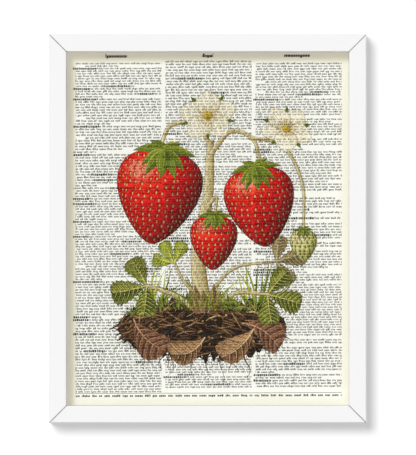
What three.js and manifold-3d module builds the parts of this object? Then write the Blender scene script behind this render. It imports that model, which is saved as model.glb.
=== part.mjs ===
// A white wall-hung picture frame holding an 8 by 10 inch paper print behind glass.
//
// Millimetres, +Z up. The wall is the plane y = 0 and the picture faces -Y. The origin is where the
// wall's nail bears in the middle notch of the saw-tooth hanger.
//
// From the front: four mitred rails whose lip overlaps the glass, the glass, the print, the backing
// board, and bendable steel points that hold the board in the rebate. V-nails join the mitres from
// the back. The hanger is nailed to the top rail, and two rubber bumpers keep the bottom rail as far
// off the wall as the hanger keeps the top one.

import * as THREE from "three";
import { mergeVertices } from "three/addons/utils/BufferGeometryUtils.js";
import Module from "manifold-3d";

const wasm = await Module();
wasm.setup();

// ---------------------------------------------------------------- driving dimensions

const SHEET_WIDTH = 203.2; // the print, the glass and the board: 8 by 10 inches
const SHEET_HEIGHT = 253; // cut 1 mm short of 10 inches, so that it drops in easily
const GLASS_THICKNESS = 2;
const PRINT_THICKNESS = 0.3;
const BOARD_THICKNESS = 3;
const SHEET_GAP = 0.1; // air between the sheets of the pack
const PRINT_AIR = 0.4; // air that keeps the inks off the glass

const LIP_OVERLAP = 3; // how far the rail covers the sheet's edge
const LIP_THICKNESS = 12; // rail front to glass
const REBATE_CLEARANCE = 0.8; // sheet edge to rebate wall
const RAIL_FACE = 12; // rail width seen from the front
const RAIL_DEPTH = 19;
const FRONT_ROUND = 0.9; // radius of the rail's two front edges
const BACK_CHAMFER = 0.3;
const MITRE_GAP = 0.2; // hairline between two rails at a corner

const WALL_GAP = 3; // rail back to wall: the bumpers' and the hanger's height
const HANG_DROP = 6.2; // frame top down to the nail

const FIT_GAP = 0.3; // all round a piece of steel let into the wood

// ---------------------------------------------------------------- derived dimensions

const SIGHT_WIDTH = SHEET_WIDTH - 2 * LIP_OVERLAP;
const SIGHT_HEIGHT = SHEET_HEIGHT - 2 * LIP_OVERLAP;
const FRAME_WIDTH = SIGHT_WIDTH + 2 * RAIL_FACE;
const FRAME_HEIGHT = SIGHT_HEIGHT + 2 * RAIL_FACE;
const BACK_LAND = RAIL_FACE - LIP_OVERLAP - REBATE_CLEARANCE; // rail width seen from the back

const BACK_Y = -WALL_GAP;
const FRONT_Y = BACK_Y - RAIL_DEPTH;
const REBATE_Y = FRONT_Y + LIP_THICKNESS;
const GLASS_Y = REBATE_Y + SHEET_GAP;
const PRINT_Y = GLASS_Y + GLASS_THICKNESS + PRINT_AIR;
const BOARD_Y = PRINT_Y + PRINT_THICKNESS + SHEET_GAP;
const BOARD_BACK_Y = BOARD_Y + BOARD_THICKNESS;

const CENTRE_Z = HANG_DROP - FRAME_HEIGHT / 2; // the picture's centre below the nail
const RIGHT_ANGLE = Math.PI / 2;

// ---------------------------------------------------------------- materials

function material(colour, roughness, metalness = 0) {
  return new THREE.MeshStandardMaterial({ color: colour, roughness, metalness });
}

const whitePaint = material(0xf6f6f6, 0.45);
const paper = material(0xf6f2e0, 0.9);
const fibreboard = material(0x8a6744, 0.85);
const zincSteel = material(0xb9bcc0, 0.35, 1);
const clearRubber = material(0xd9dbd6, 0.5);
const clearGlass = material(0xeef6f4, 0.05);
clearGlass.transparent = true;
clearGlass.opacity = 0.15;

// ---------------------------------------------------------------- joining and cutting

// A geometry as a solid that can be cut: only positions are kept, and shared vertices are merged.
function solid(geometry) {
  const bare = geometry.clone();
  bare.deleteAttribute("normal");
  bare.deleteAttribute("uv");
  const merged = mergeVertices(bare, 1e-4);
  return new wasm.Manifold(
    new wasm.Mesh({
      numProp: 3,
      vertProperties: new Float32Array(merged.attributes.position.array),
      triVerts: new Uint32Array(merged.index.array),
    }),
  );
}

function geometryOf(cut) {
  const { numProp, numVert, vertProperties, triVerts } = cut.getMesh();
  const places = new Float32Array(numVert * 3);
  for (let i = 0; i < numVert; i++) {
    places.set(vertProperties.subarray(i * numProp, i * numProp + 3), i * 3);
  }
  const geometry = new THREE.BufferGeometry();
  geometry.setAttribute("position", new THREE.BufferAttribute(places, 3));
  geometry.setIndex(new THREE.BufferAttribute(new Uint32Array(triVerts), 1));
  geometry.computeVertexNormals();
  return geometry;
}

function cutAway(geometry, cutters) {
  return geometryOf(cutters.reduce((body, cutter) => body.subtract(solid(cutter)), solid(geometry)));
}

// ---------------------------------------------------------------- outlines and plates

function outline(points) {
  return new THREE.Shape(points.map(([x, y]) => new THREE.Vector2(x, y)));
}

// A flat outline given in x and z, as a plate that runs from y = from to y = to.
function plate(shape, from, to, curveSegments = 8) {
  const geometry = new THREE.ExtrudeGeometry(shape, {
    depth: to - from,
    bevelEnabled: false,
    curveSegments,
  });
  geometry.rotateX(RIGHT_ANGLE); // the outline's y becomes z, and its thickness runs to -y
  return geometry.translate(0, to, 0);
}

function block(width, height, from, to) {
  const geometry = new THREE.BoxGeometry(width, to - from, height);
  return geometry.translate(0, (from + to) / 2, 0);
}

// A body of revolution whose axis is y. The profile lists [radius, y].
function turned(profile, sides) {
  const points = profile.map(([radius, y]) => new THREE.Vector2(radius, y));
  return new THREE.LatheGeometry(points, sides);
}

// ---------------------------------------------------------------- rails

// The moulding's section. Across is 0 at the outer edge and RAIL_FACE at the sight edge.
function railSection() {
  const wall = BACK_LAND;
  const r = FRONT_ROUND;
  const c = BACK_CHAMFER;
  const section = new THREE.Shape();
  section.moveTo(-c, BACK_Y);
  section.lineTo(-wall, BACK_Y);
  section.lineTo(-wall, REBATE_Y);
  section.lineTo(-RAIL_FACE, REBATE_Y);
  section.lineTo(-RAIL_FACE, FRONT_Y + r);
  section.absarc(-RAIL_FACE + r, FRONT_Y + r, r, Math.PI, 1.5 * Math.PI, false);
  section.lineTo(-r, FRONT_Y);
  section.absarc(-r, FRONT_Y + r, r, -RIGHT_ANGLE, 0, false);
  section.lineTo(0, BACK_Y - c);
  section.closePath();
  return section;
}

// A rail of the given outer length, lying along x as the top rail does, with its outer edge at
// z = reach. Both ends are cut at 45 degrees, each a half hairline short of the corner's diagonal.
function rail(length, reach, pockets) {
  const bar = new THREE.ExtrudeGeometry(railSection(), {
    depth: length,
    bevelEnabled: false,
    curveSegments: 5,
  });
  bar.rotateY(-RIGHT_ANGLE); // across becomes z, and the length runs to -x
  bar.translate(length / 2, 0, reach);
  const diagonal = (length / 2 - reach) / Math.SQRT2 - MITRE_GAP / 2;
  const slope = Math.SQRT1_2;
  let body = solid(bar)
    .trimByPlane([-slope, 0, slope], -diagonal)
    .trimByPlane([slope, 0, slope], -diagonal);
  for (const pocket of pockets) body = body.subtract(solid(pocket));
  return geometryOf(body);
}

// ---------------------------------------------------------------- steel let into the rails

const V_NAIL = { leg: 4.6, sheet: 0.5, height: 7, inset: 2.8 };

// The V seen from the back, its point towards the outer corner and a leg in each rail, at the top
// right corner. Grown is the room left round it.
function vNail(grown) {
  const { leg, sheet, height, inset } = V_NAIL;
  const half = sheet / 2 + grown;
  const end = leg + grown;
  const shape = outline([
    [half, half],
    [-end, half],
    [-end, -half],
    [-half, -half],
    [-half, -end],
    [half, -end],
  ]);
  const top = grown > 0 ? BACK_Y + 1 : BACK_Y;
  const nail = plate(shape, BACK_Y - height - grown, top);
  return nail.translate(FRAME_WIDTH / 2 - inset, 0, FRAME_HEIGHT / 2 - inset);
}

const POINT = { width: 6, free: 9, buried: 5, sheet: 0.5, tip: 1.6, round: 1.5 };

// A bendable point in the top rail, its buried end tapered and its free end over the board.
function flexPoint(grown) {
  const { width, free, buried, sheet, tip, round } = POINT;
  const half = width / 2 + grown;
  const deep = buried + grown;
  const shape = new THREE.Shape();
  shape.moveTo(half - tip, deep);
  shape.lineTo(tip - half, deep);
  shape.lineTo(-half, deep - tip);
  shape.lineTo(-half, round - free);
  shape.absarc(round - half, round - free, round, Math.PI, 1.5 * Math.PI, false);
  shape.lineTo(half - round, -free);
  shape.absarc(half - round, round - free, round, -RIGHT_ANGLE, 0, false);
  shape.lineTo(half, deep - tip);
  shape.closePath();
  const from = BOARD_BACK_Y + SHEET_GAP;
  return plate(shape, from - grown, from + sheet + grown, 3);
}

// ---------------------------------------------------------------- hanger

const HANGER = { length: 42, height: 7, sheet: 0.8, lift: 2, tab: 9, ramp: 2, corner: 1.5 };
const TEETH = { pitch: 2, depth: 1.4, count: 9 };
const NAIL = { head: 1.8, headHeight: 0.8, shank: 0.75, length: 6.5, fromEnd: 4 };
const NAIL_HOLE = NAIL.shank + FIT_GAP;
const TAB_Y = BACK_Y + SHEET_GAP; // where the hanger's tabs lie on the rail
const HANGER_TOP_Z = HANGER.height - TEETH.depth; // its toothed edge hangs TEETH.depth below the nail
const NAIL_X = HANGER.length / 2 - NAIL.fromEnd;
const NAIL_Z = HANG_DROP - BACK_LAND / 2;

function drill(x, z, radius, from, to) {
  const profile = [
    [0, from],
    [radius, from],
    [radius, to],
    [0, to],
  ];
  return turned(profile, 12).translate(x, 0, z);
}

// A strip with a tab at each end on the rail and its toothed middle lifted clear for a nail's head.
function hanger() {
  const { length, height, sheet, lift, tab, ramp, corner } = HANGER;
  const low = TAB_Y;
  const high = TAB_Y + lift;
  const end = length / 2;
  const foot = end - tab;
  const knee = foot - ramp;
  const profile = outline([
    [-end, low],
    [-foot, low],
    [-knee, high],
    [knee, high],
    [foot, low],
    [end, low],
    [end, low + sheet],
    [foot, low + sheet],
    [knee, high + sheet],
    [-knee, high + sheet],
    [-foot, low + sheet],
    [-end, low + sheet],
  ]);
  const strip = new THREE.ExtrudeGeometry(profile, { depth: height, bevelEnabled: false });
  strip.translate(0, 0, HANGER_TOP_Z - height);

  const rounded = new THREE.Shape();
  const bottom = HANGER_TOP_Z - height;
  rounded.moveTo(end, HANGER_TOP_Z - corner);
  rounded.absarc(end - corner, HANGER_TOP_Z - corner, corner, 0, RIGHT_ANGLE, false);
  rounded.absarc(corner - end, HANGER_TOP_Z - corner, corner, RIGHT_ANGLE, Math.PI, false);
  rounded.absarc(corner - end, bottom + corner, corner, Math.PI, 1.5 * Math.PI, false);
  rounded.absarc(end - corner, bottom + corner, corner, 1.5 * Math.PI, 2 * Math.PI, false);
  const stamp = plate(rounded, low - 1, high + sheet + 1, 4);

  const cutters = [];
  for (let i = 0; i < TEETH.count; i++) {
    const x = (i - (TEETH.count - 1) / 2) * TEETH.pitch;
    const notch = outline([
      [x - TEETH.pitch / 2, -TEETH.depth - 0.01],
      [x + TEETH.pitch / 2, -TEETH.depth - 0.01],
      [x, 0],
    ]);
    cutters.push(plate(notch, low - 1, high + sheet + 1));
  }
  for (const x of [-NAIL_X, NAIL_X]) cutters.push(drill(x, NAIL_Z, NAIL_HOLE, low - 1, high));
  return cutAway(geometryOf(solid(strip).intersect(solid(stamp))), cutters);
}

// A domed nail through the hanger's tab.
function hangerNail() {
  const seat = TAB_Y + HANGER.sheet + SHEET_GAP;
  const crown = seat + NAIL.headHeight;
  const tip = BACK_Y - NAIL.length;
  const profile = [
    [0, tip],
    [NAIL.shank, tip + 2 * NAIL.shank],
    [NAIL.shank, seat],
    [NAIL.head, seat],
    [NAIL.head, seat + NAIL.headHeight * 0.3],
    [NAIL.head * 0.75, seat + NAIL.headHeight * 0.8],
    [NAIL.head * 0.4, crown],
    [0, crown],
  ];
  return turned(profile, 16);
}

// ---------------------------------------------------------------- bumpers

const BUMPER = { radius: 3.8, round: 1.3, inset: 7 };

function bumper() {
  const { radius, round } = BUMPER;
  const profile = [
    [0, BACK_Y + SHEET_GAP],
    [radius, BACK_Y + SHEET_GAP],
  ];
  for (let i = 0; i <= 4; i++) {
    const turn = (i / 4) * RIGHT_ANGLE;
    profile.push([radius - round + round * Math.cos(turn), -round + round * Math.sin(turn)]);
  }
  profile.push([0, 0]);
  return turned(profile, 24);
}

// ---------------------------------------------------------------- assembly

const part = new THREE.Group();
const picture = new THREE.Group(); // its own origin is the picture's centre, in the wall's plane
picture.position.z = CENTRE_Z;
part.add(picture);

function place(group, name, geometry, finish, position = [0, 0, 0], turn = 0) {
  const mesh = new THREE.Mesh(geometry, finish);
  mesh.name = name;
  mesh.position.set(...position);
  mesh.rotation.y = turn;
  group.add(mesh);
}

// Each side is the top rail's arrangement turned about y.
const SIDES = [
  { name: "top", turn: 0, length: FRAME_WIDTH, reach: FRAME_HEIGHT / 2, points: 52 },
  { name: "right", turn: RIGHT_ANGLE, length: FRAME_HEIGHT, reach: FRAME_WIDTH / 2, points: 68 },
  { name: "bottom", turn: Math.PI, length: FRAME_WIDTH, reach: FRAME_HEIGHT / 2, points: 52 },
  { name: "left", turn: -RIGHT_ANGLE, length: FRAME_HEIGHT, reach: FRAME_WIDTH / 2, points: 68 },
];
const CORNERS = [
  { name: "top_right", across: 1, up: 1, turn: 0 },
  { name: "bottom_right", across: 1, up: -1, turn: RIGHT_ANGLE },
  { name: "bottom_left", across: -1, up: -1, turn: Math.PI },
  { name: "top_left", across: -1, up: 1, turn: -RIGHT_ANGLE },
];

// A geometry made at the top right corner, carried to another corner and turned to face inwards.
function atCorner(geometry, { across, up, turn }) {
  const moved = geometry.clone();
  moved.translate(-FRAME_WIDTH / 2, 0, -FRAME_HEIGHT / 2);
  moved.rotateY(turn);
  return moved.translate((across * FRAME_WIDTH) / 2, 0, (up * FRAME_HEIGHT) / 2);
}

for (const side of SIDES) {
  const rebateWall = side.reach - BACK_LAND;
  const pockets = [-side.points, side.points].map((x) =>
    flexPoint(FIT_GAP).translate(x, 0, rebateWall),
  );
  for (const corner of CORNERS) {
    pockets.push(atCorner(vNail(FIT_GAP), corner).rotateY(-side.turn));
  }
  if (side.name === "top") {
    for (const x of [-NAIL_X, NAIL_X]) {
      pockets.push(drill(x, NAIL_Z - CENTRE_Z, NAIL_HOLE, BACK_Y - NAIL.length - FIT_GAP, BACK_Y + 1));
    }
  }
  const bar = rail(side.length, side.reach, pockets);
  place(picture, `rail_${side.name}`, bar, whitePaint, [0, 0, 0], side.turn);

  [-1, 1].forEach((end, i) => {
    const seated = flexPoint(0).translate(end * side.points, 0, rebateWall);
    place(picture, `flex_point_${side.name}_${i + 1}`, seated, zincSteel, [0, 0, 0], side.turn);
  });
}

for (const corner of CORNERS) {
  place(picture, `v_nail_${corner.name}`, atCorner(vNail(0), corner), zincSteel);
}

const sheets = [
  { name: "glass", from: GLASS_Y, thickness: GLASS_THICKNESS, finish: clearGlass },
  { name: "print", from: PRINT_Y, thickness: PRINT_THICKNESS, finish: paper },
  { name: "backing_board", from: BOARD_Y, thickness: BOARD_THICKNESS, finish: fibreboard },
];
for (const { name, from, thickness, finish } of sheets) {
  place(picture, name, block(SHEET_WIDTH, SHEET_HEIGHT, from, from + thickness), finish);
}

place(part, "hanger", hanger(), zincSteel);
for (const [name, across] of [["left", -1], ["right", 1]]) {
  place(part, `hanger_nail_${name}`, hangerNail(), zincSteel, [across * NAIL_X, 0, NAIL_Z]);
  const bumperX = across * (FRAME_WIDTH / 2 - BUMPER.inset);
  const bumperZ = (BACK_LAND - FRAME_HEIGHT) / 2;
  place(picture, `bumper_${name}`, bumper(), clearRubber, [bumperX, 0, bumperZ]);
}

export default part;
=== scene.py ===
# A white frame on a white wall, holding a strawberry plate printed over a page of small marks.
#
# The rails, glass, paper, board and fittings are the CAD solids with their finishes. The inks of the
# plate are thin flat pieces on the paper, laid in the order in which a printer would lay them.

import math

import bpy
import numpy as np
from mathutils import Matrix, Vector


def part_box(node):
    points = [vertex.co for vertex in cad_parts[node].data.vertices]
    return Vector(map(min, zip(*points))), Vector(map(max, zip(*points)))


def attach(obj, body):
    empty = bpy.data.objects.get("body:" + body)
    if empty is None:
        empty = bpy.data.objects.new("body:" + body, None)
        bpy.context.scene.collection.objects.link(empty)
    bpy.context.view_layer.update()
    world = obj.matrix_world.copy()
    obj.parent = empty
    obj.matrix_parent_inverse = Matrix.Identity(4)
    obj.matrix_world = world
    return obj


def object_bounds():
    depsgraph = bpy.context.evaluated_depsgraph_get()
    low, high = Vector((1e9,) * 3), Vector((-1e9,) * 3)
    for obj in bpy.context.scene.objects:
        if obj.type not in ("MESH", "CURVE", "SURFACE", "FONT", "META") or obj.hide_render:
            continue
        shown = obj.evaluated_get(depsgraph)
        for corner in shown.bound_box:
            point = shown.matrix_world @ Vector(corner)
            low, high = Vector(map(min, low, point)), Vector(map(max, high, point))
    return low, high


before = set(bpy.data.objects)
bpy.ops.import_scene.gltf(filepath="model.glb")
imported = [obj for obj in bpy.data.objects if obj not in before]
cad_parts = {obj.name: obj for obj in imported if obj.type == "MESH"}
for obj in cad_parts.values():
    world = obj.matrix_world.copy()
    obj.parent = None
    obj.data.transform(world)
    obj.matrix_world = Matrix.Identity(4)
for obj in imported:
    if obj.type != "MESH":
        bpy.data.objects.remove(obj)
cad_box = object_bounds()

MM = 0.001

_, outer_high = cad_box
paper_low, paper_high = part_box("print")
glass_low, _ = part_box("glass")
rail_low, rail_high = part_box("rail_top")

CENTRE_Z = (paper_low.z + paper_high.z) / 2
FRAME_HALF_WIDTH = outer_high.x
FRAME_HALF_HEIGHT = outer_high.z - CENTRE_Z
RAIL_FACE = rail_high.z - rail_low.z
FRONT_Y = rail_low.y
PAPER_FACE_Y = paper_low.y
SIGHT_HALF_WIDTH = FRAME_HALF_WIDTH - RAIL_FACE
SIGHT_HALF_HEIGHT = FRAME_HALF_HEIGHT - RAIL_FACE


# ---------------------------------------------------------------- shader maths

class Value:
    """A node's output. Arithmetic on it adds Math nodes, so shader maths reads as formulas."""

    def __init__(self, shade, socket):
        self.shade = shade
        self.socket = socket

    def math(self, operation, *others):
        return self.shade.math(operation, self, *others)

    def __add__(self, other):
        return self.math("ADD", other)

    __radd__ = __add__

    def __sub__(self, other):
        return self.math("SUBTRACT", other)

    def __rsub__(self, other):
        return self.shade.math("SUBTRACT", other, self)

    def __mul__(self, other):
        return self.math("MULTIPLY", other)

    __rmul__ = __mul__

    def __truediv__(self, other):
        return self.math("DIVIDE", other)

    def __gt__(self, other):
        return self.math("GREATER_THAN", other)

    def __lt__(self, other):
        return self.math("LESS_THAN", other)

    def __abs__(self):
        return self.math("ABSOLUTE")

    def part(self, name):
        """Another output of the same node."""
        return Value(self.shade, self.socket.node.outputs[name])


class Shade:
    """A node tree as it is built up."""

    def __init__(self, tree):
        self.tree = tree

    def node(self, kind, settings=(), sockets=(), out=0):
        """A new node: its settings are set first, then its sockets are given values or links."""
        made = self.tree.nodes.new(kind)
        for name, setting in dict(settings).items():
            setattr(made, name, setting)
        for key, given in dict(sockets).items():
            if isinstance(given, Value):
                self.tree.links.new(given.socket, made.inputs[key])
            else:
                made.inputs[key].default_value = given
        return Value(self, made.outputs[out])

    def math(self, operation, *values):
        return self.node("ShaderNodeMath", {"operation": operation}, enumerate(values))

    def where(self):
        """The point being shaded, in the frame that the whole object shares, in metres."""
        return self.node("ShaderNodeTexCoord", out="Object")

    def split(self, vector):
        made = self.node("ShaderNodeSeparateXYZ", sockets={0: vector})
        return made.part("X"), made.part("Y"), made.part("Z")

    def join(self, x=0.0, y=0.0, z=0.0):
        return self.node("ShaderNodeCombineXYZ", sockets={"X": x, "Y": y, "Z": z})

    def noise(self, size, stretch=(1, 1, 1), detail=2.0, roughness=0.5, distortion=0.0):
        """Smooth noise from 0 to 1 whose lumps are about size metres across, longer where stretched."""
        spread = tuple(1 / (size * s) for s in stretch)
        scaled = self.node(
            "ShaderNodeVectorMath",
            {"operation": "MULTIPLY"},
            {0: self.where(), 1: spread},
        )
        return self.node(
            "ShaderNodeTexNoise",
            sockets={
                "Vector": scaled,
                "Scale": 1.0,
                "Detail": detail,
                "Roughness": roughness,
                "Distortion": distortion,
            },
        )

    def ramp(self, value, low, high, bottom=0.0, top=1.0):
        """value carried smoothly from bottom at low to top at high."""
        return self.node(
            "ShaderNodeMapRange",
            {"interpolation_type": "SMOOTHSTEP"},
            {"Value": value, "From Min": low, "From Max": high, "To Min": bottom, "To Max": top},
        )

    def mix(self, factor, first, second, blend="MIX"):
        """Colours mixed by factor."""
        made = self.node(
            "ShaderNodeMix",
            {"data_type": "RGBA", "blend_type": blend},
            {"Factor": factor},
            out=2,
        )
        for socket, given in zip(made.socket.node.inputs[6:8], (first, second)):
            if isinstance(given, Value):
                self.tree.links.new(given.socket, socket)
            else:
                socket.default_value = (*given, 1)
        return made

    def bump(self, height, depth, strength=1.0):
        """A normal from a height of 0 to 1 that stands for depth metres."""
        return self.node(
            "ShaderNodeBump", sockets={"Height": height, "Distance": depth, "Strength": strength}
        )


class Finish(Shade):
    """A material on its own Principled shader. Fixed values are set on the shader's sockets."""

    def __init__(self, name, **fixed):
        self.material = bpy.data.materials.new(name)
        self.material.use_nodes = True
        super().__init__(self.material.node_tree)
        self.principled = self.tree.nodes["Principled BSDF"]
        self.output = self.tree.nodes["Material Output"]
        for name, given in fixed.items():
            self.set(name.replace("_", " ").title().replace("Ior", "IOR"), given)

    def set(self, socket, given):
        if isinstance(given, Value):
            self.tree.links.new(given.socket, self.principled.inputs[socket])
        else:
            self.principled.inputs[socket].default_value = given


def linear(levels):
    """Screen levels from 0 to 255 as shares of linear light."""
    share = np.clip(np.asarray(levels) / 255, 0, 1)
    return np.where(share <= 0.04045, share / 12.92, ((share + 0.055) / 1.055) ** 2.4)


def srgb(*levels):
    return tuple(linear(levels).tolist())


# ---------------------------------------------------------------- the page's printed marks

# All in millimetres from the top left corner of the opening inside the rails.
ROW_PITCH = 1.85
FIRST_ROW = 5.6
ROWS = 125
ROW_RISE = 0.0042  # the page is cut a little askew, so that its rows rise to the right
ROW_DRIFT = 0.8  # rows that a column's print wanders up or down, in waves 132 mm long
COLUMN_LEFT = 6.0
COLUMN_PITCH = 63.0
COLUMN_WIDTH = 60.2
COLUMNS = 3
HANG = 1.6  # an entry's first row starts this far to the left
INDENT = 7.0  # and now and then a row starts this far to the right
WORD = 4.2
LETTER = 0.88
BOLD_INDENT = 6  # the least that a bold word within a row stands in
HEADINGS = ((34.6, 7.6), (98.5, 3.9), (160.9, 9.0))  # middle and half width of each heading
HEADING_TOP = 1.0
HEADING_HEIGHT = 3.4
RULE_DOWN = 238.3
RULE_HEIGHT = 0.30
FOOTER_TOP = 239.35
FOOTER_HEIGHT = 1.9


def page_marks():
    """A node group that is 1 on the page's small print and 0 between. The print has no letters."""
    tree = bpy.data.node_groups.new("page_marks", "ShaderNodeTree")
    tree.interface.new_socket("Marks", in_out="OUTPUT", socket_type="NodeSocketFloat")
    s = Shade(tree)
    x, _, z = s.split(s.where())
    across = (x + SIGHT_HALF_WIDTH) / MM
    down = (CENTRE_Z + SIGHT_HALF_HEIGHT - z) / MM + x / MM * ROW_RISE

    def inside(value, low, high):
        return (value > low) * (value < high)

    column = ((across - (COLUMN_LEFT - HANG)) / COLUMN_PITCH).math("FLOOR")
    drift = (down / 21 + column * 2.1).math("SINE") * ROW_DRIFT
    row_place = (down - FIRST_ROW) / ROW_PITCH + drift + column * 0.4
    row = row_place.math("FLOOR")
    height = 1 - row_place.math("FRACT")
    in_column = across - COLUMN_LEFT - column * COLUMN_PITCH

    def lot(of_row, key):
        """A share drawn for a row of this column. Each use has its own key."""
        return s.node(
            "ShaderNodeTexWhiteNoise",
            {"noise_dimensions": "3D"},
            {"Vector": s.join(of_row, column, key)},
        )

    def cells(place, feature, randomness, out):
        """Uneven cells along a row, about 1 long."""
        return s.node(
            "ShaderNodeTexVoronoi",
            {"voronoi_dimensions": "1D", "feature": feature},
            {"W": place, "Scale": 1.0, "Randomness": randomness},
            out=out,
        )

    def strokes(place, tall, width, ink, foot=0.24, top=0.74, gap=0.14, words=0.09):
        """Broken upright strokes from foot to top, with gaps between them and between the words."""
        word_place = place / (WORD * width)
        letter_place = place / (LETTER * width)
        in_word = cells(word_place, "DISTANCE_TO_EDGE", 0.75, "Distance") > words
        in_letter = cells(letter_place, "DISTANCE_TO_EDGE", 0.6, "Distance") > gap
        kind = s.node(
            "ShaderNodeTexWhiteNoise",
            {"noise_dimensions": "1D"},
            {"W": cells(letter_place, "F1", 0.6, "W").math("FLOOR")},
        )
        above = s.ramp(kind, 0.80, 0.82, top, 0.98)  # one stroke in five reaches up
        below = s.ramp(kind, 0.08, 0.06, foot, 0.04)  # and one in fourteen reaches down
        body = inside(tall, below, above)
        grain = s.node(
            "ShaderNodeTexNoise",
            {"noise_dimensions": "2D"},
            {"Vector": s.join(letter_place * 3.4, tall * 1.5), "Scale": 1.0, "Detail": 0.0},
        )
        return in_word * in_letter * body * (grain < ink)

    # An entry starts a little to the left, and the row before it ends short.
    starts = lot(row, 1) + column * 0.02 > 0.81
    ends = lot(row + 1, 1) + column * 0.02 > 0.81
    inset = (lot(row, 2) > 0.94) * (1 - starts)
    left = inset * INDENT - starts * HANG
    right = COLUMN_WIDTH - ends * (4 + lot(row, 3) * 0.75 * COLUMN_WIDTH)
    in_row = inside(in_column, left, right) * inside(row, 0.5, ROWS - 0.5)
    in_row = in_row * inside(column, -0.5, COLUMNS - 0.5)

    # Bold words stand at the start of an entry, and now and then within a row.
    within = lot(row, 5) > 0.88
    from_bold = in_column - within * (lot(row, 6) * 40 + BOLD_INDENT)
    bold = (starts + within > 0.5) * inside(from_bold, -HANG - 0.1, lot(row, 4) * 10 + 8)

    # Each row reads another stretch of the strokes.
    place = in_column + row * 171.3 + column * 977.1
    plain = strokes(place, height, width=1.0, ink=0.73)
    heavy = strokes(place + 40, height, width=1.6, ink=0.97, foot=0.14, top=0.85, gap=0.10, words=0.02)
    text = in_row * (plain * (1 - bold) + heavy * bold)

    headings = sum(inside(across, middle - half, middle + half) for middle, half in HEADINGS)
    headings = headings * inside(down, HEADING_TOP, HEADING_TOP + HEADING_HEIGHT)
    tall = 1 - (down - HEADING_TOP) / HEADING_HEIGHT
    headings = headings * strokes(
        across + 7, tall, width=2.0, ink=1.0, foot=0.22, top=0.70, gap=0.07, words=-1
    )

    full_width = inside(across, COLUMN_LEFT, COLUMN_LEFT + 2 * COLUMN_PITCH + COLUMN_WIDTH)
    rule = inside(down, RULE_DOWN, RULE_DOWN + RULE_HEIGHT) * full_width
    footer = inside(down, FOOTER_TOP, FOOTER_TOP + FOOTER_HEIGHT) * full_width
    tall = 1 - (down - FOOTER_TOP) / FOOTER_HEIGHT
    footer = footer * strokes(
        across + 300, tall, width=1.3, ink=0.85, foot=0.17, top=0.80, gap=0.11, words=0.13
    )
    marks = (text + headings + footer + rule).math("MINIMUM", 1.0)

    out = tree.nodes.new("NodeGroupOutput")
    tree.links.new(marks.socket, out.inputs["Marks"])
    return tree


PAGE_MARKS = page_marks()


def marks_on(s):
    return s.node("ShaderNodeGroup", {"node_tree": PAGE_MARKS})


# ---------------------------------------------------------------- finishes of the solids

PAINT_WHITE = (0.889, 0.889, 0.887)
PAINT_THIN = tuple(share * 0.99 for share in PAINT_WHITE)
# the mitre's dark line: partly the seam, partly painted shade of the gap between the rails
SEAM_AND_PAINTED_SHADE = (0.10, 0.10, 0.10)
SEAM_HALF_WIDTH = 0.0003
SEAM_SOFT_EDGE = 0.0002
PAINT_ON_BACK = 0.0005  # how far the paint turns onto the rails' back
PAINT_BEFORE_GLASS = 0.0002  # and how far in front of the glass it stops
RAW_WOOD = srgb(214, 186, 142)
RAW_WOOD_DARK = srgb(176, 140, 96)


def painted_rail(name, upright):
    """Satin white paint on pale wood, with fine brush lines along the rail. A dark line at each mitre is
    the seam and painted shade of its gap. The back is left raw.
    """
    f = Finish(name, roughness=0.45)
    x, y, z = f.split(f.where())
    run = (1, 1, 40) if upright else (40, 1, 1)
    brush = f.noise(0.0011, stretch=run, detail=3.0)
    cloud = f.noise(0.03, detail=2.0)
    grain = f.noise(0.0012, stretch=run, detail=5.0, roughness=0.65, distortion=0.4)
    band = f.noise(0.008, stretch=run, detail=2.0)

    in_width = abs(x) < FRAME_HALF_WIDTH - PAINT_ON_BACK
    in_height = abs(z - CENTRE_Z) < FRAME_HALF_HEIGHT - PAINT_ON_BACK
    behind_lip = y > glass_low.y - PAINT_BEFORE_GLASS
    raw = in_width * in_height * behind_lip

    paint = f.mix(cloud, PAINT_THIN, PAINT_WHITE)
    # The mitre's dark line: the seam itself, widened and darkened as painted shade of the shadow in its
    # gap.
    to_mitre = abs(abs(x) - abs(z - CENTRE_Z) + (FRAME_HALF_HEIGHT - FRAME_HALF_WIDTH))
    seam_and_shade = f.ramp(to_mitre, SEAM_HALF_WIDTH, SEAM_HALF_WIDTH + SEAM_SOFT_EDGE, 1.0, 0.0)
    paint = f.mix(seam_and_shade, paint, SEAM_AND_PAINTED_SHADE)
    wood = f.mix(f.ramp(grain, 0.35, 0.7), RAW_WOOD, RAW_WOOD_DARK)
    wood = f.mix(f.ramp(band, 0.3, 0.7, 0.0, 0.35), wood, RAW_WOOD_DARK)
    f.set("Base Color", f.mix(raw, paint, wood))
    f.set("Roughness", raw * 0.3 + f.ramp(brush, 0.2, 0.8, 0.40, 0.50))
    f.set("Normal", f.bump(brush + raw * grain * 2, 0.00001))
    return f.material


def clear_glass():
    """Clear glass: mostly what is behind it, with a mirror image that grows at a slant."""
    f = Finish("clear_glass")
    smear = f.noise(0.05, stretch=(1, 1, 2), detail=3.0)
    mirror = f.node(
        "ShaderNodeBsdfGlossy",
        sockets={"Color": (1, 1, 1, 1), "Roughness": f.ramp(smear, 0.3, 0.8, 0.0, 0.04)},
    )
    through = f.node("ShaderNodeBsdfTransparent", sockets={"Color": (1, 1, 1, 1)})
    slant = f.node("ShaderNodeFresnel", sockets={"IOR": 1.5})
    front = 1 - f.node("ShaderNodeNewGeometry", out="Backfacing")
    both = f.node("ShaderNodeMixShader", sockets={0: slant * front, 1: through, 2: mirror})
    f.tree.links.new(both.socket, f.output.inputs["Surface"])
    f.tree.nodes.remove(f.principled)
    return f.material


PAPER = srgb(242, 242, 233)
PAPER_AGED = srgb(230, 229, 213)
# painted shade: the lip's shadow on the paper along the left and the top, drawn into the paper's colour
PAPER_PAINTED_SHADE = srgb(220, 216, 197)
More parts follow.
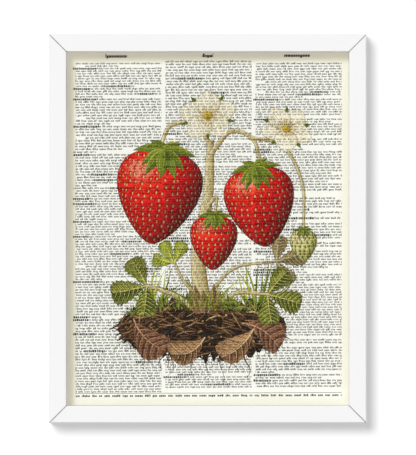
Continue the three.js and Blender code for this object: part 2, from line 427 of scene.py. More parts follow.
# painted light: lifts the painted shade right at the left and top edges
PAPER_PAINTED_LIGHT = srgb(247, 243, 226)
PAPER_FIBRE = srgb(190, 176, 140)
PAPER_FLECK = srgb(176, 150, 104)
MARKS_INK = srgb(8, 8, 11)

# Where each band along the opening's edges starts and where it is full, in metres from the edge.
AGED_BAND = (0.010, 0.002)
# the band of painted shade along the left and the top edges
PAINTED_SHADE_BAND = (0.0084, 0.0034)
PAINTED_SHADE_FURTHER = 0.0012  # the painted shade band reaches this much further in at the top, as the lip's shadow does
# the band of painted light right at the left and top edges
PAINTED_LIGHT_BAND = (0.0045, 0.0)


def book_paper():
    """Old book paper, yellower to its edges, with painted shade of the lip's shadow along the left and
    the top, painted light right at those edges, and printed marks.
    """
    f = Finish("book_paper", roughness=0.9, specular_ior_level=0.2)
    x, _, z = f.split(f.where())
    to_side = SIGHT_HALF_WIDTH - abs(x)
    to_end = SIGHT_HALF_HEIGHT - abs(z - CENTRE_Z)
    nearest = to_side.math("MINIMUM", to_end)
    cloud = f.noise(0.045, detail=3.0)
    fibre = f.noise(0.0006, detail=3.0, stretch=(2.2, 1, 1), distortion=0.6)
    fleck = f.noise(0.0035, detail=4.0, roughness=0.7)
    age = f.ramp(nearest + (cloud - 0.5) * 0.008, *AGED_BAND) * 0.85
    sheet = f.mix(age + f.ramp(cloud, 0.5, 0.9) * 0.15, PAPER, PAPER_AGED)
    from_left = x + SIGHT_HALF_WIDTH
    from_top = CENTRE_Z + SIGHT_HALF_HEIGHT - z
    # Painted shade: a darker band along the left and the top edges stands for the lip's shadow on the
    # paper.
    painted_shade_reach = from_left.math("MINIMUM", from_top - PAINTED_SHADE_FURTHER) + (cloud - 0.5) * 0.002
    sheet = f.mix(f.ramp(painted_shade_reach, *PAINTED_SHADE_BAND), sheet, PAPER_PAINTED_SHADE)
    # Painted light: a lighter band within a few millimetres of the left and top edges softens that
    # painted shade.
    sheet = f.mix(f.ramp(from_left.math("MINIMUM", from_top), *PAINTED_LIGHT_BAND), sheet, PAPER_PAINTED_LIGHT)
    sheet = f.mix(f.ramp(fibre, 0.45, 0.75) * 0.05, sheet, PAPER_FIBRE)
    sheet = f.mix(f.ramp(fleck, 0.72, 0.8) * 0.12, sheet, PAPER_FLECK)
    f.set("Base Color", f.mix(marks_on(f) * 0.97, sheet, MARKS_INK))
    f.set("Normal", f.bump(fibre, 0.00002, 0.4))
    return f.material


BOARD = srgb(142, 104, 68)
BOARD_DARK = srgb(112, 78, 50)
BOARD_PALE_FIBRE = srgb(176, 138, 94)
BOARD_DARK_FIBRE = srgb(70, 46, 30)


def hardboard():
    """Brown hardboard: pressed wood fibre, smooth and faintly shiny."""
    f = Finish("hardboard", roughness=0.6)
    mat = f.noise(0.004, detail=6.0, roughness=0.7, distortion=0.2)
    fibre = f.noise(0.0006, detail=3.0, stretch=(3, 1, 1), distortion=1.0)
    cross = f.noise(0.0006, detail=3.0, stretch=(1, 1, 3), distortion=1.0)
    body = f.mix(f.ramp(mat, 0.3, 0.7), BOARD_DARK, BOARD)
    body = f.mix(f.ramp(fibre, 0.58, 0.72) * 0.5, body, BOARD_PALE_FIBRE)
    body = f.mix(f.ramp(cross, 0.60, 0.74) * 0.45, body, BOARD_DARK_FIBRE)
    f.set("Base Color", body)
    f.set("Roughness", f.ramp(mat, 0.3, 0.7, 0.5, 0.68))
    f.set("Normal", f.bump(fibre + cross + mat, 0.00003, 0.6))
    return f.material


ZINC = srgb(206, 209, 214)
ZINC_BRIGHT = srgb(228, 228, 225)


def zinc_plate():
    """Bright zinc on pressed steel, with fine rolling lines and dull patches."""
    f = Finish("zinc_plate", metallic=0.8)
    rolling = f.noise(0.0002, stretch=(30, 1, 1), detail=2.0)
    patch = f.noise(0.0016, detail=4.0, roughness=0.6)
    f.set("Base Color", f.mix(f.ramp(patch, 0.3, 0.7), ZINC, ZINC_BRIGHT))
    f.set("Roughness", f.ramp(patch, 0.25, 0.75, 0.42, 0.54))
    f.set("Normal", f.bump(rolling + patch, 0.000008, 0.5))
    return f.material


RUBBER = srgb(208, 212, 208)
RUBBER_MILKY = srgb(232, 234, 228)


def cloudy_rubber():
    """Soft clear rubber gone slightly milky, with a fine moulded skin."""
    f = Finish("cloudy_rubber", subsurface_weight=0.3, subsurface_scale=0.001)
    cloud = f.noise(0.002, detail=3.0)
    skin = f.noise(0.0003, detail=2.0)
    f.set("Base Color", f.mix(cloud, RUBBER, RUBBER_MILKY))
    f.set("Roughness", f.ramp(cloud, 0.3, 0.7, 0.3, 0.45))
    f.set("Normal", f.bump(skin, 0.00001, 0.5))
    return f.material


def wear(names, material):
    """Give the CAD solids of these names their finish."""
    for name in names:
        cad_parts[name].material_slots[0].material = material


wear(("rail_top", "rail_bottom"), painted_rail("white_paint_level", upright=False))
wear(("rail_left", "rail_right"), painted_rail("white_paint_upright", upright=True))
wear(("glass",), clear_glass())
wear(("print",), book_paper())
wear(("backing_board",), hardboard())
steel = [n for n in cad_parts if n.startswith(("flex_point", "v_nail", "hanger"))]
wear(steel, zinc_plate())
wear(("bumper_left", "bumper_right"), cloudy_rubber())
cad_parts["glass"].visible_shadow = False


# ---------------------------------------------------------------- drawing tools for the plate

# A place on the plate is a complex number: millimetres right and up from the plate's middle.
# A colour is three screen levels from 0 to 255 until it is laid.

LAYER = 0.000003  # metres from one patch of ink to the next
RUN_BASE = {  # metres above the paper at which each run of ink starts, all under the glass
    "ink_back": 0.000012,
    "ink_ground": 0.000100,
    "ink_front": 0.000215,
    "ink_fruit": 0.000280,
}
MAP_MARGIN = 0.01  # the bare rim of a piece's flat map, as a share of its size
LIGHT = np.exp(2.3j)  # the drawn light comes from above and to the left
chance = np.random.default_rng(23)


def toward(degrees):
    """The unit step in a direction: 0 is to the right and 90 is up."""
    return np.exp(1j * np.radians(degrees))


def smooth(value, low, high):
    """value carried smoothly from 0 at low to 1 at high."""
    share = np.clip((value - low) / (high - low), 0, 1)
    return share * share * (3 - 2 * share)


def tones(share, stops):
    """Colours along the stops, the first where share is 0 and the last where it is 1."""
    stops = np.array(stops, float)
    place = np.clip(share, 0, 1) * (len(stops) - 1)
    low = np.minimum(place.astype(int), len(stops) - 2)
    return stops[low] + (stops[low + 1] - stops[low]) * (place - low)[..., None]


def curve(points, count):
    """Places along a smooth line through the points."""
    p = np.array(points, complex)
    p = np.concatenate(([2 * p[0] - p[1]], p, [2 * p[-1] - p[-2]]))
    place = np.linspace(0, len(points) - 1, count)
    k = np.minimum(place.astype(int), len(points) - 2)
    f = place - k
    a, b, c, d = p[k], p[k + 1], p[k + 2], p[k + 3]
    return b + 0.5 * f * (c - a + f * (2 * a - 5 * b + 4 * c - d + f * (3 * (b - c) + d - a)))


def along(count, *values):
    """Values spread evenly along a stroke of so many places."""
    return np.interp(np.linspace(0, 1, count), np.linspace(0, 1, len(values)), values)


def sideways(path):
    """The unit left of the way a path runs."""
    way = np.gradient(path, axis=-1)
    return 1j * way / np.maximum(abs(way), 1e-9)


class Inks:
    """A run of flat coloured patches on the paper, each laid over those before it."""

    def __init__(self, name):
        self.name = name
        self.height = RUN_BASE[name]
        self.places = []
        self.tints = []
        self.quads = []
        self.count = 0

    def again(self):
        """The next patches touch none of those before, so they lie at the bottom of the run."""
        self.height = RUN_BASE[self.name]

    def sheets(self, places, tints):
        """Sheets of quads. places is sheets by rows by columns, and tints is that by three levels."""
        shape = places.shape
        index = self.count + np.arange(places.size).reshape(shape)
        corners = (index[:, :-1, :-1], index[:, :-1, 1:], index[:, 1:, 1:], index[:, 1:, :-1])
        quads = np.stack(corners, -1).reshape(-1, 4)
        flat = places.reshape(-1)
        corner = flat[quads - self.count]
        turn = ((corner[:, 2] - corner[:, 0]).conj() * (corner[:, 3] - corner[:, 1])).imag
        quads[turn < 0] = quads[turn < 0, ::-1]  # so that all of them face the glass
        level = np.full(len(flat), PAPER_FACE_Y - self.height)
        self.places.append(np.stack((flat.real * MM, level, CENTRE_Z + flat.imag * MM), -1))
        self.tints.append(np.broadcast_to(tints, (*shape, 3)).reshape(-1, 3))
        self.quads.append(quads)
        self.count += len(flat)
        self.height += LAYER

    def sheet(self, places, tints):
        """One sheet of quads."""
        self.sheets(places[None], tints[None])

    def lines(self, paths, widths, tints, spread=1):
        """Strokes. paths is strokes by places; tints is one colour, one a stroke, or one a place."""
        paths = np.atleast_2d(paths)
        tints = np.asarray(tints, float)
        if tints.ndim == 2:
            tints = tints[:, None]
        tints = np.broadcast_to(tints, (*paths.shape, 3))
        half = sideways(paths) * np.broadcast_to(widths, paths.shape) / 2
        places = np.stack((paths + half, paths - half), axis=1)
        for k in range(spread):
            self.sheets(places[k::spread], np.repeat(tints[k::spread, None], 2, axis=1))

    def spots(self, centres, reach, narrow, tints, corners=4):
        """Ovals. reach is the half length with its direction, and narrow the width's share of it."""
        centres = np.atleast_1d(centres)
        reach = np.broadcast_to(reach, centres.shape)[:, None]
        narrow = np.broadcast_to(narrow, centres.shape)[:, None]
        angle = np.pi * (1 - (np.arange(corners) + 0.5) / corners)
        upper = centres[:, None] + reach * (np.cos(angle) + 1j * narrow * np.sin(angle))
        lower = centres[:, None] + reach * (np.cos(angle) - 1j * narrow * np.sin(angle))
        tints = np.broadcast_to(tints, (len(centres), 3))[:, None, None]
        places = np.stack((upper, lower), axis=1)
        self.sheets(places, np.broadcast_to(tints, (*places.shape, 3)))

    def piece(self, material):
        """All the run's patches as one piece, with their colours and a flat map."""
        places = np.concatenate(self.places)
        quads = np.concatenate(self.quads)
        mesh = bpy.data.meshes.new(self.name)
        mesh.from_pydata(places.tolist(), [], quads.tolist())
        colours = np.ones((len(places), 4))
        colours[:, :3] = linear(np.concatenate(self.tints))
        mesh.attributes.new("tint", "FLOAT_COLOR", "POINT").data.foreach_set("color", colours.ravel())
        flat = places[:, (0, 2)] - places[:, (0, 2)].min(axis=0)
        flat = MAP_MARGIN + (1 - 2 * MAP_MARGIN) * flat / flat.max()
        mesh.uv_layers.new(name="OFBake").data.foreach_set("uv", flat[quads.ravel()].ravel())
        mesh.materials.append(material)
        made = bpy.data.objects.new(self.name, mesh)
        bpy.context.scene.collection.objects.link(made)
        made.visible_shadow = False  # ink has no height of its own, so it shades nothing
        made.visible_diffuse = False
        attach(made, "root")


STONE_SHADOW = (0.45, 0.42, 0.40)
STONE_CLOUD = (0.72, 0.68, 0.62)
MARKS_THROUGH_INK = (0.10, 0.09, 0.09)


def plate_ink():
    """Printed colour: grainy as if from stone, with the page's marks showing through it."""
    f = Finish("plate_ink", roughness=0.8, specular_ior_level=0.2)
    tint = f.node("ShaderNodeVertexColor", {"layer_name": "tint"})
    stone = f.noise(0.0005, detail=3.0, roughness=0.6)
    cloud = f.noise(0.004, detail=3.0)
    body = f.mix(f.ramp(stone, 0.52, 0.74) * 0.14, tint, PAPER)
    body = f.mix(f.ramp(stone, 0.50, 0.28) * 0.5, body, STONE_SHADOW, "MULTIPLY")
    body = f.mix(f.ramp(cloud, 0.45, 0.75) * 0.35, body, STONE_CLOUD, "MULTIPLY")
    f.set("Base Color", f.mix(marks_on(f) * 0.8, body, MARKS_THROUGH_INK, "MULTIPLY"))
    return f.material


# ---------------------------------------------------------------- leaves, stems, berries, flowers

# Each row of tints runs from the darkest shade to the light.
LEAF = ((28, 36, 12), (50, 62, 16), (82, 94, 24), (122, 130, 38), (166, 168, 66), (212, 204, 118))
LEAF_BACK = ((66, 56, 34), (104, 90, 52), (138, 122, 72), (172, 154, 100), (206, 190, 140))
YOUNG = ((56, 70, 16), (94, 114, 22), (140, 154, 34), (184, 188, 62), (218, 214, 112))
CALYX = ((40, 52, 12), (74, 92, 18), (112, 130, 28), (156, 166, 48), (204, 204, 104))
DEAD = ((46, 30, 18), (94, 64, 38), (146, 106, 66), (190, 150, 102), (224, 194, 148))
STALK = ((92, 70, 36), (146, 122, 70), (196, 178, 120), (226, 214, 166), (244, 234, 200))
RUST = ((38, 22, 14), (80, 48, 30), (122, 80, 54), (164, 118, 84), (204, 164, 128))
RED = ((70, 2, 6), (128, 2, 6), (176, 6, 8), (212, 16, 12), (232, 44, 24), (242, 104, 70))
UNRIPE = ((112, 112, 58), (158, 158, 84), (198, 198, 122), (226, 222, 158), (240, 226, 190))
PETAL = ((140, 124, 84), (188, 172, 126), (218, 206, 164), (236, 228, 196), (248, 243, 222))
GOLD = ((120, 96, 30), (176, 144, 42), (214, 184, 66), (236, 214, 116))
SHEATH = ((54, 36, 24), (98, 68, 42), (146, 110, 72), (192, 158, 114), (224, 200, 160))
MOSS = ((44, 56, 20), (84, 98, 34), (128, 140, 52), (176, 180, 84))
SOIL = ((26, 17, 10), (50, 33, 20), (86, 58, 34), (130, 92, 54), (174, 136, 86), (212, 182, 130))
OUTLINE = (52, 44, 26)
LEAF_RUST = np.array((150, 104, 56))
STALK_OUTLINE = (86, 66, 38)
STALK_HAIR = (150, 134, 92)
BERRY_GLINT = np.array((250, 206, 178))
SEED = (236, 206, 128)
SEED_UNRIPE = (150, 120, 60)
PETAL_OUTLINE = (132, 116, 78)
STAMEN = (170, 150, 60)
POLLEN = (196, 146, 40)

TOOTH_PEAK = 0.8  # where a leaf's tooth is longest, as a share of its base


def leaflet(inks, root, way, length, halves, bend, stops, veins=8, tooth=0.26, hatch=110):
    """A leaflet. halves are its widths left and right of the midrib, which bends by a share."""
    axis = toward(way)

    def place(u, v):
        u, v = np.broadcast_arrays(u, v)
        swell = np.maximum(np.sin(np.pi * u ** 1.3), 1e-4) ** 0.75
        half = np.where(v > 0, halves[0], halves[1]) * swell
        point = u * veins % 1
        cut = np.where(point < TOOTH_PEAK, point / TOOTH_PEAK, (1 - point) / (1 - TOOTH_PEAK))
        reach = v * (1 + tooth * (cut - 0.5) * abs(v) ** 8)
        forward = u + 0.20 * abs(v) ** 1.4 * swell
        bent = forward + 1j * bend * forward * (1 - forward)
        return root + axis * (length * bent + 1j * half * reach)

    facing = (1j * axis * np.conj(LIGHT)).real

    def shade(u, v):
        pad = u * veins - TOOTH_PEAK
        vein = np.cos(2 * np.pi * pad) * smooth(abs(v), 0.0, 0.25)
        slope = np.sin(2 * np.pi * pad) * (axis * np.conj(LIGHT)).real * smooth(abs(v), 0.0, 0.3)
        return (
            0.47
            + 0.21 * facing * np.sign(v) * smooth(1.1 - abs(v), 0.0, 0.9)
            - 0.15 * vein
            - 0.13 * slope
            - 0.22 * smooth(0.12 - abs(v), 0.0, 0.12) * (facing * v < 0)
            + 0.12 * smooth(abs(v), 0.7, 1.0)
        )

    u = np.linspace(0, 1, 5 * veins + 4)[:, None]
    v = np.linspace(-1, 1, 19)[None]
    tint = tones(shade(u, v) + chance.normal(0, 0.035, (u.size, v.size)), stops)
    rust = smooth(abs(v) + chance.normal(0, 0.1, (u.size, v.size)), 0.9, 1.15)[..., None]
    inks.sheet(place(u, v), tint * (1 - 0.5 * rust) + LEAF_RUST * 0.5 * rust)

    start = chance.uniform(0.05, 0.96, hatch)[:, None]
    out = chance.uniform(0.06, 0.75, hatch)[:, None] * chance.choice((-1, 1), (hatch, 1))
    run = out * (1 + np.linspace(0, 1, 5)[None] * chance.uniform(0.2, 0.7, (hatch, 1)))
    run = np.clip(run, -0.96, 0.96)
    lift = chance.choice((-0.36, -0.26, 0.2), (hatch, 1))
    paths = place(start, run)
    inks.lines(paths, along(5, 0.08, 0.2, 0.24, 0.16, 0.05), tones(shade(start, run) + lift, stops))

    top = stops[-1]
    roots = ((np.arange(1, veins) + TOOTH_PEAK - 0.9) / veins)[:, None]
    for side in (-1, 1):
        paths = place(roots, side * np.linspace(0.01, 0.97, 7)[None])
        inks.lines(paths, along(7, 0.42, 0.3, 0.12), top)
        inks.height -= LAYER
        edge = place(np.linspace(0, 1, 5 * veins + 4), side * 1.0)
        inks.lines(edge, 0.16 + 0.12 * chance.random(len(edge)), OUTLINE)
        inks.height -= LAYER
    rib = place(np.linspace(0, 0.99, 16), 1e-6)
    inks.height += LAYER
    inks.lines(rib, along(16, 0.9, 0.55, 0.2), top)


def leaf(inks, joint, way, size, stops, spread, turned):
    """Three leaflets from one joint. turned narrows the left side of each, or the right below 0."""
    left = 0.36 * (1 - max(turned, 0))
    right = 0.36 * (1 + min(turned, 0))
    for turn, share, bend in ((spread, 0.9, 0.12), (-spread, 0.9, -0.12), (0, 1.0, 0.05)):
        length = size * share * chance.uniform(0.95, 1.05)
        outer = 1.15 if turn > 0 else 1.0
        inner = 1.15 if turn < 0 else 1.0
        halves = (length * left * outer, length * right * inner)
        leaflet(inks, joint, way + turn, length, halves, bend, stops)


def stem(inks, points, widths, hairs, count=None):
    """A round stem along a smooth line, lit from the left, with fine hairs on both its sides."""
    count = count or 14 * len(points)
    path = curve(points, count)
    width = along(count, *widths)
    side = sideways(path)
    across = np.linspace(-1, 1, 9)[:, None]
    facing = (side * np.conj(LIGHT)).real[None]
    light = 0.42 + 0.38 * across * facing + 0.22 * np.sqrt(1 - across ** 2)
    light = light + 0.05 * np.sin(np.arange(count) * 1.9) + chance.normal(0, 0.03, (9, count))
    inks.sheet(path + across * side * width / 2, tones(light, STALK))
    k = chance.integers(1, count - 1, hairs)
    hand = chance.choice((-1, 1), hairs)
    foot = path[k] + side[k] * hand * width[k] * 0.45
    lean = side[k] * hand * toward(chance.uniform(-35, 35, hairs))
    lean = lean * chance.uniform(0.7, 1.7, hairs)
    paths = foot[:, None] + lean[:, None] * np.linspace(0, 1, 3)
    inks.lines(paths, along(3, 0.14, 0.1, 0.04), STALK_HAIR)
    inks.height -= LAYER
    for hand, thick in ((1, 0.14), (-1, 0.22)):
        edge = path + hand * side * width * 0.48
        inks.lines(edge, thick + 0.06 * chance.random(count), STALK_OUTLINE)
        inks.height -= LAYER
    inks.lines(path + side * width * 0.12, 0.12, STALK[1])


def sepal(inks, root, way, length, width, curl, stops=CALYX):
    """A narrow pointed leaf with a fold down its middle, curling to its left by a share of its length."""
    axis = toward(way)
    facing = (1j * axis * np.conj(LIGHT)).real

    def place(u, v):
        onward = 1 + 2j * curl * u
        half = width / 2 * (np.sin(np.pi * (0.12 + 0.88 * u) ** 0.8) + 0.02)
        return root + axis * (length * (u + 1j * curl * u * u) + 1j * onward / abs(onward) * half * v)

    def shade(u, v):
        fold = 0.24 * smooth(0.2 - abs(v), 0.0, 0.2)
        return 0.38 + 0.30 * facing * v - fold + 0.20 * u + 0.14 * smooth(abs(v), 0.6, 1.0)

    u = np.linspace(0, 1, 12)[:, None]
    v = np.linspace(-1, 1, 11)[None]
    inks.sheet(place(u, v), tones(shade(u, v) + chance.normal(0, 0.04, (12, 11)), stops))
    side = chance.uniform(-0.85, 0.85, (12, 1))
    run = chance.uniform(0.0, 0.6, (12, 1)) + 0.34 * np.linspace(0, 1, 5)
    lift = chance.choice((-0.26, -0.18, 0.16), (12, 1))
    inks.lines(place(run, side), along(5, 0.05, 0.24, 0.05), tones(shade(run, side) + lift, stops))
    edge = np.linspace(0, 1, 12)
    for hand in (-1, 1):
        inks.lines(place(edge, hand), 0.18, OUTLINE)
        inks.height -= LAYER
    inks.lines(place(edge[:9], 0), along(9, 0.3, 0.1), stops[-1])
    inks.height -= LAYER


def berry(inks, middle, way, length, width, stops=RED, spacing=5.2, seed=SEED):
    """A berry whose tip points along way: smooth shading, seeds in pits, fine curved strokes."""
    axis = toward(way)

    def half(s):
        return width / 2 * np.maximum(np.sin(np.pi * np.clip(s, 0, 1) ** 0.62), 1e-5) ** 0.62

    def place(s, turn):
        v = np.sin(turn)
        bulge = 0.08 * (1 - v * v) * np.sin(np.pi * s)
        return middle + axis * length * (s - 0.5 + bulge) + 1j * axis * half(s) * v

    def light(s, turn):
        slope = -(half(s + 0.01) - half(s - 0.01)) / (0.02 * length)
        slope = np.clip(slope, -1.6, 1.6)
        flat = 1j * axis * np.sin(turn) + axis * slope
        scale = 1 / np.sqrt(1 + slope * slope)
        return ((flat * np.conj(LIGHT)).real * 0.66 + np.cos(turn) * 0.75) * scale

    def body(facing):
        return 0.10 + 0.70 * facing

    seeds = []
    row_pitch = spacing * 0.82
    for row in range(int(length / row_pitch)):
        s = 0.045 + (row + 0.5) * row_pitch / length * 0.95
        number = max(1, int(np.pi * half(s) / spacing))
        for k in range(number):
            turn = ((k + 0.5 + 0.25 * (-1) ** row) / number - 0.5) * np.pi
            if abs(turn) < 1.38 and s < 0.97:
                seeds.append((s + chance.normal(0, 0.004), turn + chance.normal(0, 0.03)))
    seeds = np.array(seeds)
    at = place(seeds[:, 0], seeds[:, 1])
    seeds_facing = light(seeds[:, 0], seeds[:, 1])

    s = (0.5 - 0.5 * np.cos(np.linspace(0.02, np.pi - 0.02, int(length * 1.1))))[:, None]
    turn = np.linspace(-np.pi / 2, np.pi / 2, int(width * 1.1))[None]
    places = place(s, turn)
    offset = (places[..., None] - at) / spacing
    nearest = np.argmin(abs(offset), axis=-1)
    offset = np.take_along_axis(offset, nearest[..., None], -1)[..., 0]
    distance = abs(offset)
    pit = 0.55 * (offset * np.conj(LIGHT)).real * np.exp(-(distance / 0.33) ** 2)
    relief = 0.10 * smooth(distance, 0.15, 0.5) - pit
    facing = light(s, turn)
    shade = body(facing) + relief + chance.normal(0, 0.03, places.shape)
    shade = shade + 0.14 * smooth(-facing, -0.25, 0.3)
    tint = tones(shade, stops)
    glint = smooth(facing + relief * 0.5, 0.93, 1.04)[..., None] * 0.55
    inks.sheet(places, tint * (1 - glint) + BERRY_GLINT * glint)

    count = int(length * width / 8)
    s0 = chance.uniform(0.04, 0.96, count)[:, None]
    t0 = chance.uniform(-1.4, 1.4, count)[:, None]
    run = np.clip(t0 + np.linspace(0, 1, 6) * 3.2 / half(s0), -1.5, 1.5)
    lift = np.where(chance.random((count, 1)) < 0.6, -0.26, 0.16)
    tint = tones(body(light(s0, run)) + lift, stops)
    inks.lines(place(s0, run), along(6, 0.05, 0.18, 0.05), tint)

    squash = np.maximum(np.cos(seeds[:, 1]), 0.3)
    pits = tones(0.05 + 0.4 * seeds_facing, stops)
    inks.spots(at + LIGHT * 0.25, -axis * 1.35, 0.72 * squash, pits, corners=6)
    seed = np.array(seed) * (0.62 + 0.42 * np.clip(seeds_facing, 0, 1))[:, None]
    inks.spots(at - LIGHT * 0.12, -axis * 1.0, 0.58 * squash, seed, corners=5)
    inks.spots(at - LIGHT * 0.05, -axis * 0.5, 0.25 * squash, seed * 0.62)
    inks.height -= LAYER
    shine = (at - LIGHT * 1.15)[:, None] + 1j * axis * squash[:, None] * np.linspace(-0.9, 0.9, 3)
    inks.lines(shine, 0.2, tones(0.35 + 0.6 * seeds_facing, stops))

    for hand in (-1, 1):
        edge = place(np.linspace(0.01, 0.995, 50), hand * np.pi / 2)
        inks.lines(edge, 0.2 + 0.15 * chance.random(50), np.array(stops[0]) * 0.8)
        inks.height -= LAYER
    inks.height += LAYER
    top = place(0.02, 0.0) - axis * 0.5
    reach = width * 0.34
    for turn, share in ((-150, 0.55), (150, 0.6), (-112, 0.95), (115, 1.0), (-78, 0.8), (80, 0.85)):
        curl = -0.5 if turn > 0 else 0.5
        sepal(inks, top, way + turn, reach * share, reach * 0.34, curl)
    inks.height += LAYER
    for turn, share in ((-48, 1.0), (46, 0.95), (-16, 0.8), (14, 0.9)):
        curl = -0.3 if turn > 0 else 0.3
        sepal(inks, top, way + turn, reach * share, reach * 0.36, curl)
        inks.height += LAYER


SLANT = 0.85  # how much of its height a flower keeps, seen from a little to one side


def flower(inks, middle, radius, turn, lean):
    """Five round petals about a yellow middle. lean is the direction across which it is narrowed."""

    def tilt(flat):
        flat = flat * toward(-lean)
        return middle + (flat.real + 1j * SLANT * flat.imag) * toward(lean)

    sepals = np.array([toward(turn + 36 + 72 * k) for k in range(5)])[:, None]
    u = np.linspace(0, 1, 6)
    inks.lines(tilt(sepals * radius * (0.55 + 0.40 * u)), along(6, 3.4, 3.0, 0.3), YOUNG[1])
    for k in (0, 2, 4, 1, 3):
        axis = toward(turn + 72 * k)

        def place(u, v):
            swell = np.maximum(np.sin(np.pi * u ** 0.78), 1e-4) ** 0.5
            wave = 1 + (0.04 * np.sin(9 * v + 2 * k) - 0.10 * v * v) * swell * u
            away = 0.10 + 0.90 * u * wave
            return tilt(axis * radius * (away + 1j * 0.43 * swell * v))

        u = np.linspace(0, 1, 22)[:, None]
        v = np.linspace(-1, 1, 17)[None]
        facing = (1j * axis * np.conj(LIGHT)).real
        shade = 0.62 + 0.35 * smooth(u, 0.0, 0.5) + 0.14 * facing * v - 0.30 * smooth(abs(v), 0.75, 1.0)
        shade = shade - 0.25 * smooth(u, 0.88, 1.0) + 0.10 * np.cos(v * 8) * (1 - u)
        inks.sheet(place(u, v), tones(shade + chance.normal(0, 0.02, shade.shape), PETAL))
        side = chance.uniform(-0.85, 0.85, 26)[:, None]
        first = chance.uniform(0.0, 0.6, (26, 1))
        run = first + np.linspace(0, 1, 5) * chance.uniform(0.15, 0.38, (26, 1))
        shades = tones(chance.uniform(0.15, 0.5, 26), PETAL)
        inks.lines(place(np.clip(run, 0, 0.97), side), along(5, 0.05, 0.16, 0.04), shades)
        for hand in (-1, 1):
            inks.lines(place(np.linspace(0, 1, 26), hand * 1.0), 0.2, PETAL_OUTLINE)
            inks.height -= LAYER
        inks.height += LAYER
    ring = toward(np.arange(22) * 360 / 22 + chance.normal(0, 4, 22))
    inner = radius * 0.14
    outer = radius * chance.uniform(0.28, 0.36, 22)
    stamens = ring[:, None] * (inner + (outer[:, None] - inner) * np.linspace(0, 1, 4))
    inks.lines(tilt(stamens), 0.2, STAMEN)
    inks.spots(tilt(ring * outer), 0.62 * ring, 0.6, POLLEN)
    angle = np.linspace(0, 2 * np.pi, 25)
    dome = np.linspace(0.02, 1, 8)[:, None] * np.exp(1j * angle)[None]
    shade = 0.55 + 0.4 * (dome * np.conj(LIGHT)).real - 0.2 * abs(dome) ** 3
    inks.sheet(tilt(dome * radius * 0.17), tones(shade, GOLD))
    pips = np.sqrt(chance.random(40)) * toward(chance.uniform(0, 360, 40))
    inks.spots(tilt(pips * radius * 0.16), 0.3, 0.8, tones(chance.random(40), GOLD))


# ---------------------------------------------------------------- the plate

CROWN = complex(-2, -50)
CLOD = complex(-4, -69)
CLOD_HALF = 59
CLOD_TOP = 21
CLOD_BOTTOM = 22
ROOTS_SHORTEN = 60  # the clod's roots are half as long this far from its middle


def blades(inks, roots, ways, lengths, width, stops, bend, spread):
    """Narrow blades that bend over towards their tips."""
    count = len(roots)
    u = np.linspace(0, 1, 9)
    axis = toward(ways)[:, None]
    fall = bend * chance.normal(0, 1, (count, 1))
    paths = roots[:, None] + axis * lengths[:, None] * (u + 1j * fall * u * u)
    tint = tones(chance.random(count)[:, None] * 0.7 + 0.3 * u, stops)
    inks.lines(paths, width * along(9, 0.9, 1.0, 0.8, 0.1), tint, spread)


def clod(t, share):
    """A place in the clod: t from -1 at its left end to 1, and share from -1 below to 1 above."""
    dome = np.sqrt(np.maximum(1 - t * t, 0.0))
    return CLOD + CLOD_HALF * t + 1j * dome * np.where(share > 0, CLOD_TOP, CLOD_BOTTOM) * share


